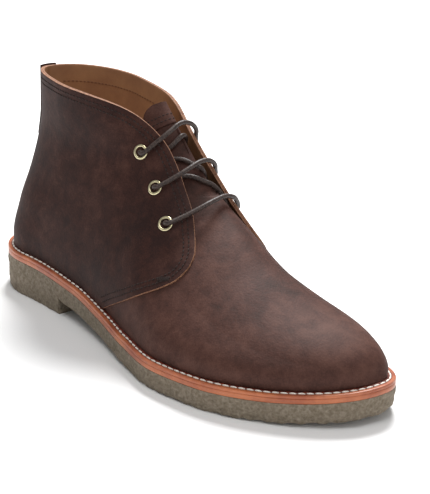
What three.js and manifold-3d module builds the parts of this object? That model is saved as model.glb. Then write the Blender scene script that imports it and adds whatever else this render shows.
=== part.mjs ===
// Desert boot, right foot, standing empty on its sole.
// Millimetres. +X runs from heel to toe, +Y to the inner side of the foot, +Z up from the floor.
// Everything hangs on one last: its feather line, its top line, its back line and its sections.
import * as THREE from 'three';
import Module from 'manifold-3d';

const wasm = await Module();
wasm.setup();

// Driving sizes
const SOLE_LENGTH = 302;
const BALL_WIDTH = 108;
const COLLAR_HEIGHT = 140;
const HEEL_LENGTH = 78;
const WELT_SHOW = 4.8;       // welt that shows beyond the upper
const JOINT_GAP = 0.3;       // air between two pieces that touch
const UPPER_SEAT = 0.3;      // the upper's foot over the feather line
const MIDSOLE_THICK = 2.4;
const WELT_THICK = 1.9;
const WELT_REACH = 9.4;      // width of the welt strip
const INSOLE_THICK = 2.8;
const VAMP_WALL = 1.9;       // leather and lining together
const QUARTER_STEP = 1.1;    // the quarters lie this much proud of the vamp
const TONGUE_THICK = 2.0;
const CORD = 2.8;            // lace diameter

// Sizes worked out from them
const LAST_HEEL = WELT_SHOW;
const LAST_TOE = SOLE_LENGTH - WELT_SHOW;
const LAST_LENGTH = LAST_TOE - LAST_HEEL;
const HALF_BALL = BALL_WIDTH / 2;
const WELT_STACK = MIDSOLE_THICK + WELT_THICK + 3 * JOINT_GAP;
const LEG_TOP = COLLAR_HEIGHT + 32;     // the last's leg runs on above the collar
const TIP_SHIFT = 20;                   // the toe tip turns to the inner side
const TIP_START = 195;

const table = (names, rows) => Object.fromEntries(
  names.split(' ').map((name, column) => [name, rows.map((row) => row[column])]));

// Feather line: share of the last's length, half breadths as shares of half the ball width,
// and its height over the floor.
const FEATHER = table('along outer inner height', [
  [0.00, 0.620, 0.620, 27.6],
  [0.06, 0.602, 0.593, 27.6],
  [0.17, 0.565, 0.546, 27.2],
  [0.30, 0.583, 0.472, 24.6],
  [0.42, 0.676, 0.491, 20.6],
  [0.54, 0.824, 0.667, 17.7],
  [0.65, 0.931, 0.843, 16.9],
  [0.76, 0.917, 0.833, 17.3],
  [0.87, 0.840, 0.735, 18.0],
  [0.94, 0.790, 0.620, 19.4],
  [1.00, 0.760, 0.570, 21.6]]);

// Top line, from the front of the leg over the instep and vamp to the toe.
const TOP_LINE = table('x height', [
  [60, 330], [85, 235], [100, 188], [112, 159], [124, 141.5], [138, 126], [155, 107.5],
  [170, 91.5], [185, 79], [200, 70], [220, 60], [240, 52], [260, 46.2], [275, 42.6],
  [286, 38], [293, 32], [LAST_TOE, 21.6]]);

// Back line of the heel and leg.
const BACK_LINE = table('height x', [
  [20, 5.4], [27.6, LAST_HEEL], [40, 3.9], [55, 4.8], [75, 9], [95, 13.8], [115, 17.2],
  [140, 17.6], [LEG_TOP, 15]]);

// Leg: breadth against the feather line on each side, and how the back is rounded.
const LEG = table('height outer inner roundLength roundPower', [
  [22, 1.00, 1.00, 34, 2.15],
  [35, 1.02, 1.02, 36, 2.12],
  [55, 0.93, 0.97, 42, 1.98],
  [80, 0.77, 0.91, 48, 1.85],
  [105, 0.67, 0.87, 52, 1.75],
  [125, 0.745, 0.98, 57, 1.73],
  [150, 0.84, 1.07, 59, 1.71],
  [LEG_TOP, 0.86, 1.06, 59, 1.70]]);

// Cross sections: powers of the arch, and how far its ridge leans to the inner side.
const SECTION = table('x risePower widthPower lean', [
  [60, 2.2, 1.90, 3],
  [110, 3.0, 1.80, 13],
  [140, 1.9, 1.75, 14],
  [170, 1.6, 1.70, 15],
  [200, 1.7, 1.75, 10],
  [230, 1.9, 1.90, 6],
  [260, 2.5, 2.10, 4],
  [LAST_TOE, 3.0, 2.30, 0]]);
const SECTION_START = 60;

const TOE_ROUND = { length: 73, power: 2.25 };
const LEG_FADE = { start: 120, length: 60 };          // where the leg's breadths give way to the forefoot's
const FOREFOOT_BULGE = { size: 0.05, upTo: 0.6 };     // the vamp swells a little over the feather line

// Side profile of a quarter: collar, facing, rounded front corner and seam down to the welt.
const QUARTER_PROFILE = table('x height', [
  [-12, 137], [10, 138], [24, 139.4], [42, 140], [62, 140], [80, 139], [95, 137.2],
  [106, 134.8], [116, 131], [124, 126.4], [131.5, 121.2], [138, 116], [144, 110.2],
  [152, 101.9], [160, 93.2], [168, 84.6], [175.5, 76.4], [181, 70.8], [185.4, 65.8],
  [187.3, 61], [185.6, 55.2], [180, 50.4], [170, 44.5], [157, 36.5], [146, 28.5],
  [139, 20], [136, 10]]);
const THROAT_X = 177;          // the throat ends here on the vamp

// Underside of the rubber, in front of the heel.
const UNDERSIDE = table('x height', [
  [HEEL_LENGTH, 9.2], [100, 7.2], [125, 4.4], [150, 2.0], [172, 0.4], [184, 0],
  [236, 0], [258, 0.4], [280, 2.0], [SOLE_LENGTH, 4.8]]);
const BREAST_SLOPE = 0.6;
const EDGE_TAPER = 1.5;        // the rubber draws in to the floor
const EDGE_BEVEL = { rise: 1.6, taper: 0.8 };

// Eyelets of the outer side, top row first, and their sizes.
const EYELETS = table('x height', [[125.4, 110.8], [142.8, 94.1], [159.7, 78.2]]);
const EYELET = { flange: 4.6, barrel: 3.15, bore: 2.6, thick: 0.8, hole: 3.6, seat: 0.7 };

// Tongue: place along the top line, half width, and how deep it lies under the last's surface.
const TONGUE = table('x halfWidth depth', [
  [192, 16, 2.3],
  [182, 19, 2.4],
  [172, 22, 3.4],
  [163, 24, 5.6],
  [152, 25, 6.0],
  [140, 25, 6.0],
  [130, 25, 6.0],
  [125, 23, 5.9],
  [121.5, 18, 5.8],
  [119.5, 10, 5.7]]);

// Back strip over the closing seam.
const STRIP = { halfWidth: 5.5, foot: 95, above: 1.2, thick: 1.2, reach: 45 };

// Curves

// Cubic through the rows that never overshoots between two of them.
function smooth(xs, ys) {
  const last = xs.length - 1;
  const step = [];
  const rise = [];
  for (let i = 0; i < last; i++) {
    step.push(xs[i + 1] - xs[i]);
    rise.push((ys[i + 1] - ys[i]) / step[i]);
  }
  const endSlope = (h0, h1, d0, d1) => {
    const slope = ((2 * h0 + h1) * d0 - h0 * d1) / (h0 + h1);
    if (slope * d0 <= 0) return 0;
    return d0 * d1 < 0 && Math.abs(slope) > 3 * Math.abs(d0) ? 3 * d0 : slope;
  };
  const slopes = [endSlope(step[0], step[1], rise[0], rise[1])];
  for (let i = 1; i < last; i++) {
    const before = 2 * step[i] + step[i - 1];
    const after = step[i] + 2 * step[i - 1];
    const flat = rise[i - 1] * rise[i] <= 0;
    slopes.push(flat ? 0 : (before + after) / (before / rise[i - 1] + after / rise[i]));
  }
  slopes.push(endSlope(step[last - 1], step[last - 2], rise[last - 1], rise[last - 2]));
  return (x) => {
    const place = Math.min(Math.max(x, xs[0]), xs[last]);
    let i = 0;
    while (i < last - 1 && place > xs[i + 1]) i++;
    const t = (place - xs[i]) / step[i];
    return ys[i] * (2 * t ** 3 - 3 * t ** 2 + 1) + ys[i + 1] * (3 * t ** 2 - 2 * t ** 3)
      + step[i] * (slopes[i] * (t ** 3 - 2 * t ** 2 + t) + slopes[i + 1] * (t ** 3 - t ** 2));
  };
}

const clamp01 = (value) => Math.min(Math.max(value, 0), 1);
const alongLast = (curve) => (x) => curve((x - LAST_HEEL) / LAST_LENGTH);
const featherOuter = alongLast(smooth(FEATHER.along, FEATHER.outer));
const featherInner = alongLast(smooth(FEATHER.along, FEATHER.inner));
const featherHeight = alongLast(smooth(FEATHER.along, FEATHER.height));
const topLine = smooth(TOP_LINE.x, TOP_LINE.height);
const backLine = smooth(BACK_LINE.height, BACK_LINE.x);
const legOuter = smooth(LEG.height, LEG.outer);
const legInner = smooth(LEG.height, LEG.inner);
const legRoundLength = smooth(LEG.height, LEG.roundLength);
const legRoundPower = smooth(LEG.height, LEG.roundPower);
const risePower = smooth(SECTION.x, SECTION.risePower);
const widthPower = smooth(SECTION.x, SECTION.widthPower);
const ridgeLean = smooth(SECTION.x, SECTION.lean);
const underside = smooth(UNDERSIDE.x, UNDERSIDE.height);

const tipShift = (x) => TIP_SHIFT * clamp01((x - TIP_START) / (LAST_TOE - TIP_START)) ** 1.5;
const ridgeY = (x) => tipShift(x) + ridgeLean(Math.max(x, SECTION_START));

// An end rounded as a superellipse, 0 at the tip and 1 past its length.
function endRound(distance, length, power) {
  const inward = clamp01(distance / length);
  return (1 - (1 - inward) ** power) ** (1 / power);
}

// Where the last's skin lies at a place along the foot and a height: the y of both sides.
function lastSides(x, height) {
  const foot = featherHeight(x);
  const share = clamp01((height - foot) / Math.max(topLine(x) - foot, 1e-6));
  const arch = (1 - share ** risePower(x)) ** (1 / widthPower(x));
  const t = clamp01((x - LEG_FADE.start) / LEG_FADE.length);
  const fade = t * t * (3 - 2 * t);
  const swell = 1 + FOREFOOT_BULGE.size * Math.sin(Math.PI * clamp01(share / FOREFOOT_BULGE.upTo));
  const ends = endRound(x - backLine(height), legRoundLength(height), legRoundPower(height))
    * endRound(LAST_TOE - x, TOE_ROUND.length, TOE_ROUND.power);
  const middle = tipShift(x) + ridgeLean(Math.max(x, SECTION_START)) * share ** 1.5;
  const outer = featherOuter(x) * HALF_BALL * (legOuter(height) * (1 - fade) + swell * fade);
  const inner = featherInner(x) * HALF_BALL * (legInner(height) * (1 - fade) + swell * fade);
  return { outer: middle - outer * arch * ends, inner: middle + inner * arch * ends };
}

// The top line as a path, from the toe's feather point up to the top of the leg.
const TOP_PATH = (() => {
  const points = [];
  let length = 0;
  for (let x = LAST_TOE; topLine(x) <= LEG_TOP; x -= 0.1) {
    const previous = points.at(-1);
    if (previous) length += Math.hypot(x - previous.x, topLine(x) - previous.height);
    points.push({ x, height: topLine(x), length });
  }
  return points;
})();

function topPathPoint(share) {
  const length = share * TOP_PATH.at(-1).length;
  return TOP_PATH.find((point) => point.length >= length) ?? TOP_PATH.at(-1);
}

const ringOrder = (outer, inner) => [...outer, ...inner.slice(1, -1).reverse()];
const RING_BOW = 1.3;
const LEVEL_SPREAD = 1.3;      // more rings near the feather line

// A ring round the last: level 0 is the feather line, level 1 the top of the leg.
function lastRing(level, samples) {
  const front = topPathPoint(level);
  const heelRise = (LEG_TOP - featherHeight(LAST_HEEL)) * level;
  const frontRise = front.height - featherHeight(front.x);
  const backX = backLine(featherHeight(LAST_HEEL) + heelRise);
  const outer = [];
  const inner = [];
  for (let i = 0; i < samples; i++) {
    const share = (1 - Math.cos(Math.PI * i / (samples - 1))) / 2;
    const x = backX + (front.x - backX) * share;
    const rise = heelRise + (frontRise - heelRise) * share ** RING_BOW;
    const height = Math.min(featherHeight(x) + rise, topLine(x));
    const sides = lastSides(x, height);
    const atEnd = i === 0 || i === samples - 1;
    const endY = i === 0 ? 0 : (level > 0 ? ridgeY(x) : TIP_SHIFT);
    outer.push(new THREE.Vector3(x, atEnd ? endY : sides.outer, height));
    inner.push(new THREE.Vector3(x, atEnd ? endY : sides.inner, height));
  }
  return ringOrder(outer, inner);
}

// Closed meshes

// Joins closed rings into a solid whose first and last rings are capped from side to side.
function ringSolid(rings) {
  const around = rings[0].length;
  const half = around / 2;
  const triangles = [];
  const at = (ring, i) => ring * around + (i + around) % around;
  for (let ring = 0; ring < rings.length - 1; ring++) {
    for (let i = 0; i < around; i++) {
      triangles.push([at(ring, i), at(ring, i + 1), at(ring + 1, i + 1)]);
      triangles.push([at(ring, i), at(ring + 1, i + 1), at(ring + 1, i)]);
    }
  }
  const cap = (ring, turned) => {
    const add = (a, b, c) => triangles.push(turned ? [a, c, b] : [a, b, c]);
    for (let i = 0; i < half; i++) {
      if (i > 0) add(at(ring, i), at(ring, -i), at(ring, i + 1));
      if (i < half - 1) add(at(ring, -i), at(ring, -i - 1), at(ring, i + 1));
    }
  };
  cap(0, false);
  cap(rings.length - 1, true);
  return solidOf(rings.flat(), triangles);
}

// Joins rings into a closed loop of rings, for a frame such as the welt.
function hoopSolid(rings) {
  const around = rings[0].length;
  const triangles = [];
  const at = (ring, i) => (ring % rings.length) * around + i % around;
  for (let ring = 0; ring < rings.length; ring++) {
    for (let i = 0; i < around; i++) {
      triangles.push([at(ring, i), at(ring, i + 1), at(ring + 1, i + 1)]);
      triangles.push([at(ring, i), at(ring + 1, i + 1), at(ring + 1, i)]);
    }
  }
  return solidOf(rings.flat(), triangles);
}

// A manifold solid with its faces pointing out.
function solidOf(points, triangles) {
  const volume = triangles.reduce((sum, [a, b, c]) =>
    sum + points[a].dot(new THREE.Vector3().crossVectors(points[b], points[c])), 0);
  const faces = volume > 0 ? triangles : triangles.map(([a, b, c]) => [a, c, b]);
  const mesh = new wasm.Mesh({
    numProp: 3,
    vertProperties: new Float32Array(points.flatMap((point) => point.toArray())),
    triVerts: new Uint32Array(faces.flat()),
  });
  return new wasm.Manifold(mesh);
}

function solidFromGeometry(geometry) {
  const source = geometry.index ? geometry.toNonIndexed() : geometry;
  const position = source.getAttribute('position');
  const keys = new Map();
  const points = [];
  const triangles = [];
  for (let i = 0; i < position.count; i++) {
    const point = new THREE.Vector3().fromBufferAttribute(position, i);
    const key = point.toArray().map((value) => Math.round(value * 1e4)).join();
    if (!keys.has(key)) {
      keys.set(key, points.length);
      points.push(point);
    }
    if (i % 3 === 0) triangles.push([]);
    triangles.at(-1).push(keys.get(key));
  }
  return solidOf(points, triangles.filter(([a, b, c]) => a !== b && b !== c && c !== a));
}

function geometryOf(solid) {
  const mesh = solid.getMesh();
  const geometry = new THREE.BufferGeometry();
  geometry.setAttribute('position', new THREE.BufferAttribute(mesh.vertProperties, 3));
  geometry.setIndex(new THREE.BufferAttribute(mesh.triVerts, 1));
  geometry.computeVertexNormals();
  return geometry;
}

// The last's form

// Outward normals of a grid of rings; the lowest ring's lie flat, so its height is kept.
function gridNormals(rings) {
  const around = rings[0].length;
  return rings.map((ring, level) => ring.map((point, i) => {
    const along = new THREE.Vector3().subVectors(ring[(i + 1) % around], ring[(i + around - 1) % around]);
    const above = rings[Math.min(level + 1, rings.length - 1)][i];
    const below = rings[Math.max(level - 1, 0)][i];
    const up = new THREE.Vector3().subVectors(above, below);
    const normal = along.cross(up).normalize();
    if (level === 0) normal.setZ(0).normalize();
    return normal;
  }));
}

// The last as a filled form, its skin moved outward by a distance. A tail carries it below
// the feather line, for cutting.
function lastForm(distance, levels, samples, tail = 0) {
  const rings = [];
  for (let level = 0; level <= levels; level++) {
    rings.push(lastRing((level / levels) ** LEVEL_SPREAD, samples));
  }
  const normals = gridNormals(rings);
  const moved = rings.map((ring, level) =>
    ring.map((point, i) => point.clone().addScaledVector(normals[level][i], distance)));
  if (tail > 0) moved.unshift(moved[0].map((point) => point.clone().setZ(point.z - tail)));
  else moved[0] = moved[0].map((point) => point.setZ(point.z + UPPER_SEAT));
  return ringSolid(moved);
}

// A wall of endless breadth over a side profile.
function profilePrism(points, yFrom, yTo) {
  const shape = new THREE.Shape(points.map(([x, height]) => new THREE.Vector2(x, height)));
  const geometry = new THREE.ExtrudeGeometry(shape, { depth: yTo - yFrom, bevelEnabled: false });
  geometry.rotateX(Math.PI / 2);
  geometry.translate(0, yTo, 0);
  return solidFromGeometry(geometry);
}

const PROFILE_STEPS = 72;
const quarterCurve = new THREE.CatmullRomCurve3(
  QUARTER_PROFILE.x.map((x, i) => new THREE.Vector3(x, 0, QUARTER_PROFILE.height[i])));
const quarterLine = quarterCurve.getSpacedPoints(PROFILE_STEPS).map(({ x, z }) => [x, z]);
const FAR = 400;

// Upper: vamp and quarters, one hollow wall

const LEVELS = 23;
const SAMPLES = 31;
const INNER_LEVELS = 17;
const INNER_SAMPLES = 24;
const HOLE_SIDES = 12;

function throatAndCollar() {
  const open = quarterLine.filter(([x], i) => x < THROAT_X && i < PROFILE_STEPS * 0.8);
  return profilePrism(
    [[-FAR, -FAR], [-FAR, open[0][1]], ...open, [THROAT_X, FAR], [FAR, FAR], [FAR, -FAR]], -FAR, FAR);
}

function quarterForm() {
  const outline = [[-FAR, 0], [-FAR, quarterLine[0][1]], ...quarterLine, [quarterLine.at(-1)[0], 0]];
  return lastForm(QUARTER_STEP, LEVELS, SAMPLES).intersect(profilePrism(outline, -FAR, FAR));
}

// A point of the last's skin with its outward normal; side is -1 outer, +1 inner.
function skinPoint(x, height, side) {
  const reach = 0.5;
  const y = (px, pz) => (side < 0 ? lastSides(px, pz).outer : lastSides(px, pz).inner);
  const slopeX = (y(x + reach, height) - y(x - reach, height)) / (2 * reach);
  const slopeZ = (y(x, height + reach) - y(x, height - reach)) / (2 * reach);
  const normal = new THREE.Vector3(-slopeX, 1, -slopeZ).multiplyScalar(side).normalize();
  return { point: new THREE.Vector3(x, y(x, height), height), normal };
}

const eyeletPlaces = EYELETS.x.flatMap((x, row) => [-1, 1].map((side) => ({
  name: `eyelet_${side < 0 ? 'outer' : 'inner'}_${row + 1}`,
  row,
  side,
  ...skinPoint(x, EYELETS.height[row], side),
})));

// Turns a shape that stands on +Y so that it stands on a normal at a point.
function standOn(geometry, { point, normal }) {
  geometry.applyQuaternion(new THREE.Quaternion().setFromUnitVectors(new THREE.Vector3(0, 1, 0), normal));
  geometry.translate(point.x, point.y, point.z);
  return geometry;
}

function upperSolid() {
  const outside = lastForm(0, LEVELS, SAMPLES).add(quarterForm());
  const inside = lastForm(-VAMP_WALL, INNER_LEVELS, INNER_SAMPLES, 8);
  let upper = outside.subtract(inside).intersect(throatAndCollar());
  for (const place of eyeletPlaces) {
    const drill = new THREE.CylinderGeometry(EYELET.hole, EYELET.hole, 14, HOLE_SIDES);
    upper = upper.subtract(solidFromGeometry(standOn(drill, place)));
  }
  return upper;
}

// Back strip, between two larger forms
function backStripSolid() {
  const near = QUARTER_STEP + JOINT_GAP;
  const height = QUARTER_PROFILE.height[1] + STRIP.above;
  const block = profilePrism(
    [[-FAR, STRIP.foot], [STRIP.reach, STRIP.foot], [STRIP.reach, height], [-FAR, height]],
    -STRIP.halfWidth, STRIP.halfWidth);
  return lastForm(near + STRIP.thick, LEVELS, SAMPLES)
    .subtract(lastForm(near, LEVELS, SAMPLES, 20))
    .intersect(block);
}

// Sole layers: all follow the feather line's ring

const SOLE_SAMPLES = 46;

function featherRing(stations) {
  const edge = (side) => stations.map((x) => {
    const height = featherHeight(x);
    return new THREE.Vector3(x, lastSides(x, height)[side], height);
  });
  const outer = edge('outer');
  const inner = edge('inner');
  outer[0].setY(0);
  inner[0].setY(0);
  outer.at(-1).setY(TIP_SHIFT);
  inner.at(-1).setY(TIP_SHIFT);
  return ringOrder(outer, inner);
}

// The ring moved outward in plan, with its height worked out from its own point.
function planRing(ring, outward, heightOf) {
  const around = ring.length;
  return ring.map((point, i) => {
    const ahead = ring[(i + 1) % around];
    const behind = ring[(i + around - 1) % around];
    const out = new THREE.Vector2(ahead.y - behind.y, behind.x - ahead.x).normalize();
    const moved = new THREE.Vector3(point.x + out.x * outward, point.y + out.y * outward, 0);
    return moved.setZ(heightOf(point, moved));
  });
}

const evenStations = Array.from({ length: SOLE_SAMPLES }, (_, i) =>
  LAST_HEEL + LAST_LENGTH * (1 - Math.cos(Math.PI * i / (SOLE_SAMPLES - 1))) / 2);
const layerRing = featherRing(evenStations);

function plateSolid(ring, outward, below, above) {
  return ringSolid([
    planRing(ring, outward, (point) => point.z + below),
    planRing(ring, outward, (point) => point.z + above)]);
}

function outsoleSolid() {
  const front = HEEL_LENGTH + BREAST_SLOPE;
  const stations = evenStations
    .filter((x) => Math.abs(x - HEEL_LENGTH) > 3)
    .concat([HEEL_LENGTH, front])
    .sort((a, b) => a - b);
  const ring = featherRing(stations);
  const floor = (x) => (x < HEEL_LENGTH + BREAST_SLOPE / 2 ? 0 : underside(x));
  const level = (point, moved) => floor(point.x === HEEL_LENGTH ? point.x : Math.max(moved.x, point.x));
  return ringSolid([
    planRing(ring, WELT_SHOW - EDGE_TAPER, level),
    planRing(ring, WELT_SHOW - EDGE_BEVEL.taper, (point, moved) => level(point, moved) + EDGE_BEVEL.rise),
    planRing(ring, WELT_SHOW, (point) => point.z - WELT_STACK)]);
}

function midsoleSolid() {
  const below = -WELT_STACK + JOINT_GAP;
  return plateSolid(layerRing, WELT_SHOW, below, below + MIDSOLE_THICK);
}

function weltSolid() {
  const top = -JOINT_GAP;
  const bottom = top - WELT_THICK;
  const inside = WELT_SHOW - WELT_REACH;
  return hoopSolid([
    planRing(layerRing, WELT_SHOW, (point) => point.z + bottom),
    planRing(layerRing, WELT_SHOW, (point) => point.z + top),
    planRing(layerRing, inside, (point) => point.z + top),
    planRing(layerRing, inside, (point) => point.z + bottom)]);
}

const INSOLE = { margin: 1.2, topMargin: 3.2, seat: 0.4 };

function insoleSolid() {
  return ringSolid([
    planRing(layerRing, -VAMP_WALL - INSOLE.margin, (point) => point.z + INSOLE.seat),
    planRing(layerRing, -VAMP_WALL - INSOLE.topMargin, (point) => point.z + INSOLE.seat + INSOLE_THICK)]);
}

// Places across the instep: an arc length from the ridge, measured in the section at x

const ARC_STEPS = 160;

function sectionArc(x, side) {
  const ridge = { y: ridgeY(x), height: topLine(x), arc: 0 };
  const points = [ridge];
  const foot = featherHeight(x);
  for (let i = 1; i <= ARC_STEPS; i++) {
    const height = ridge.height - (ridge.height - foot) * (i / ARC_STEPS) ** 2;
    const sides = lastSides(x, height);
    const y = side < 0 ? sides.outer : sides.inner;
    const previous = points.at(-1);
    points.push({ y, height, arc: previous.arc + Math.hypot(y - previous.y, height - previous.height) });
  }
  return points;
}

function acrossPoint(x, arc) {
  const points = sectionArc(x, arc < 0 ? -1 : 1);
  const wanted = Math.abs(arc);
  const i = Math.max(points.findIndex((point) => point.arc >= wanted), 1);
  const t = (wanted - points[i - 1].arc) / (points[i].arc - points[i - 1].arc);
  return new THREE.Vector3(
    x,
    THREE.MathUtils.lerp(points[i - 1].y, points[i].y, t),
    THREE.MathUtils.lerp(points[i - 1].height, points[i].height, t));
}

// The same place lifted off the skin, along its normal.
function liftedPoint(x, arc, lift) {
  const reach = 1;
  const along = acrossPoint(x + reach, arc).sub(acrossPoint(x - reach, arc));
  const across = acrossPoint(x, arc + reach).sub(acrossPoint(x, arc - reach));
  const normal = along.cross(across).normalize();
  return acrossPoint(x, arc).addScaledVector(normal, lift);
}

// Tongue: a curved sheet of even thickness

const TONGUE_COLUMNS = 9;
const TONGUE_ROWS = 15;

function tongueSolid() {
  const places = TONGUE.x.map((_, i) => i);
  const order = (column) => smooth(places, column);
  const [xOf, widthOf, depthOf] = [order(TONGUE.x), order(TONGUE.halfWidth), order(TONGUE.depth)];
  const rings = [];
  for (let row = 0; row <= TONGUE_ROWS; row++) {
    const place = (row / TONGUE_ROWS) * places.at(-1);
    const face = (depth) => Array.from({ length: TONGUE_COLUMNS + 1 }, (_, column) =>
      liftedPoint(xOf(place), (2 * column / TONGUE_COLUMNS - 1) * widthOf(place), -depth));
    const upperFace = face(depthOf(place));
    const lowerFace = face(depthOf(place) + TONGUE_THICK);
    rings.push([...upperFace, ...lowerFace.reverse()]);
  }
  return sheetSolid(rings);
}

// Rings of a sheet: the upper face, then the lower one back. The ends are closed by strips.
function sheetSolid(rings) {
  const around = rings[0].length;
  const triangles = [];
  const at = (ring, i) => ring * around + i % around;
  for (let ring = 0; ring < rings.length - 1; ring++) {
    for (let i = 0; i < around; i++) {
      triangles.push([at(ring, i), at(ring, i + 1), at(ring + 1, i + 1)]);
      triangles.push([at(ring, i), at(ring + 1, i + 1), at(ring + 1, i)]);
    }
  }
  const close = (ring, turned) => {
    for (let i = 0; i < around / 2 - 1; i++) {
      const far = around - 1 - i;
      const quad = [at(ring, i), at(ring, far), at(ring, far - 1), at(ring, i + 1)];
      const faces = [[quad[0], quad[1], quad[2]], [quad[0], quad[2], quad[3]]];
      triangles.push(...faces.map(([a, b, c]) => (turned ? [a, c, b] : [a, b, c])));
    }
  };
  close(0, false);
  close(rings.length - 1, true);
  return solidOf(rings.flat(), triangles);
}

// Eyelets

function eyeletGeometry(place) {
  const low = -VAMP_WALL - 0.2;
  const seat = QUARTER_STEP + EYELET.seat;
  const high = seat + EYELET.thick;
  const profile = [
    [EYELET.bore, low], [EYELET.barrel, low], [EYELET.barrel, seat], [EYELET.flange, seat],
    [EYELET.flange - 0.4, high - 0.2], [EYELET.barrel + 0.2, high], [EYELET.bore, high - 0.2],
    [EYELET.bore, low]];
  const ring = new THREE.LatheGeometry(profile.map(([r, y]) => new THREE.Vector2(r, y)), HOLE_SIDES);
  return geometryOf(solidFromGeometry(standOn(ring, place)));
}

// Lace: three bars over the throat, two crossings under it

const OVER = QUARTER_STEP + 0.4 + CORD / 2;      // height of the cord over the quarters
const OVER_FLANGE = OVER + 1.5;
const UNDER = -4.0;                              // depth of the cord between facing and tongue
const BAR_BOW = 11;                              // a bar runs square to the throat, so it bows to the toe
const GAP_HALF = 12;
const BAR_DIP = 2.2;
const TURN_BOW = 6;
const LACE_STEPS = 100;
const END_STEPS = 14;

// The short free end: how far along from the top eyelets, and where across the ridge.
const INNER_END = table('along arc', [[3.5, 14.5], [4.5, 10], [5.5, 5], [6, 0], [5, -5], [3.4, -10]]);

const eyeletArc = (row, side) => {
  const points = sectionArc(EYELETS.x[row], side);
  const found = points.find((point) => point.height <= EYELETS.height[row]);
  return side * found.arc;
};

// The cord's turn through an eyelet, from the tongue's side up and over the flange. Below, it
// comes from the throat, or from under the quarter where underWay is -1.
function eyeletTurn(row, side, underWay = 1) {
  const place = eyeletPlaces.find((eyelet) => eyelet.row === row && eyelet.side === side);
  const arc = eyeletArc(row, side);
  const inward = new THREE.Vector3()
    .subVectors(acrossPoint(EYELETS.x[row] + TURN_BOW, arc - side * 6), place.point)
    .projectOnPlane(place.normal)
    .normalize();
  const step = (sideways, lift) => place.point.clone()
    .addScaledVector(inward, sideways)
    .addScaledVector(place.normal, lift);
  return [step(3.6 * underWay, UNDER), step(1.1 * underWay, -3.5), step(0, -1.4), step(0, 1.7),
    step(0.9, 3.4), step(3.2, OVER_FLANGE)];
}

function barPoints(row) {
  const from = eyeletArc(row, -1);
  const to = eyeletArc(row, 1);
  const middle = (from + to) / 2;
  const half = (to - from) / 2;
  const points = [];
  for (const t of [-0.62, -0.42, -0.2, 0, 0.2, 0.42, 0.62]) {
    const arc = middle + half * t;
    const gap = clamp01(1 - (arc / GAP_HALF) ** 2);
    points.push(liftedPoint(EYELETS.x[row] + BAR_BOW * (1 - t * t), arc, OVER - BAR_DIP * gap));
  }
  return points;
}

// A crossing under the facings, from an outer eyelet to the inner eyelet of the next row.
function crossingPoints(row) {
  const from = eyeletArc(row, -1);
  const to = eyeletArc(row + 1, 1);
  return [0.24, 0.42, 0.6, 0.78].map((t) => liftedPoint(
    THREE.MathUtils.lerp(EYELETS.x[row], EYELETS.x[row + 1], t) + 3 * Math.sin(Math.PI * t),
    THREE.MathUtils.lerp(from, to, t),
    UNDER));
}

function laceRoute() {
  const lastRow = EYELETS.x.length - 1;
  const points = [];
  for (let row = 0; row <= lastRow; row++) {
    const outerTurn = eyeletTurn(row, -1, row === lastRow ? -1 : 1);
    points.push(...eyeletTurn(row, 1), ...barPoints(row).reverse(), ...outerTurn.reverse());
    if (row < lastRow) points.push(...crossingPoints(row));
  }
  return points;
}

function cordSolid(points, steps) {
  const curve = new THREE.CatmullRomCurve3(points, false, 'centripetal');
  const section = new THREE.Shape(Array.from({ length: 8 }, (_, i) => {
    const angle = (i + 0.5) * Math.PI / 4;
    return new THREE.Vector2(Math.cos(angle), Math.sin(angle)).multiplyScalar(CORD / 2);
  }));
  const tube = new THREE.ExtrudeGeometry(section, { steps, extrudePath: curve, curveSegments: 1 });
  return solidFromGeometry(tube);
}

// The free ends go on from the lace's two end faces. The inner one comes from the top inner
// eyelet and lies over the crossing; the outer one runs up under the outer facing, from the
// lowest eyelet to the top one.
function freeEnd(face, next) {
  const away = new THREE.Vector3().subVectors(face.end, face.before).normalize();
  const beyond = (distance) => face.end.clone().addScaledVector(away, distance);
  return [beyond(JOINT_GAP), beyond(1.6), ...next];
}

function innerEndPoints(points) {
  const [x] = EYELETS.x;
  return freeEnd({ end: points[0], before: points[1] },
    INNER_END.along.map((along, i) => liftedPoint(x + along, INNER_END.arc[i], UNDER)));
}

function outerEndPoints(points) {
  const beside = (row) => eyeletArc(row, -1) - 7;
  const [top, middle, low] = EYELETS.x;
  return freeEnd({ end: points.at(-1), before: points.at(-2) }, [
    liftedPoint(low - 5, beside(2), UNDER),
    liftedPoint((middle + low) / 2, (beside(1) + beside(2)) / 2, UNDER),
    liftedPoint(middle, beside(1), UNDER),
    liftedPoint((top + middle) / 2, (beside(0) + beside(1)) / 2, UNDER),
    liftedPoint(top, beside(0), UNDER)]);
}

// Finishes

const finish = (color, roughness, metalness = 0) =>
  new THREE.MeshStandardMaterial({ color, roughness, metalness });
const FINISH = {
  rubber: finish(0x7a6d5d, 0.9),
  tanLeather: finish(0xb07a5c, 0.6),
  weltLeather: finish(0x8a4a38, 0.6),
  brownLeather: finish(0x4a352d, 0.7),
  lining: finish(0x8a6a4e, 0.75),
  brass: finish(0xc9a860, 0.3, 1),
  lace: finish(0x3d302b, 0.7),
};

// The boot

const boot = new THREE.Group();

function addPiece(name, geometry, material) {
  const piece = new THREE.Mesh(geometry, material);
  piece.name = name;
  boot.add(piece);
}

addPiece('outsole', geometryOf(outsoleSolid()), FINISH.rubber);
addPiece('midsole', geometryOf(midsoleSolid()), FINISH.tanLeather);
addPiece('welt', geometryOf(weltSolid()), FINISH.weltLeather);
addPiece('insole', geometryOf(insoleSolid()), FINISH.lining);
addPiece('upper', geometryOf(upperSolid()), FINISH.brownLeather);
addPiece('tongue', geometryOf(tongueSolid()), FINISH.brownLeather);
addPiece('back_strip', geometryOf(backStripSolid()), FINISH.brownLeather);
for (const place of eyeletPlaces) addPiece(place.name, eyeletGeometry(place), FINISH.brass);

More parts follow.
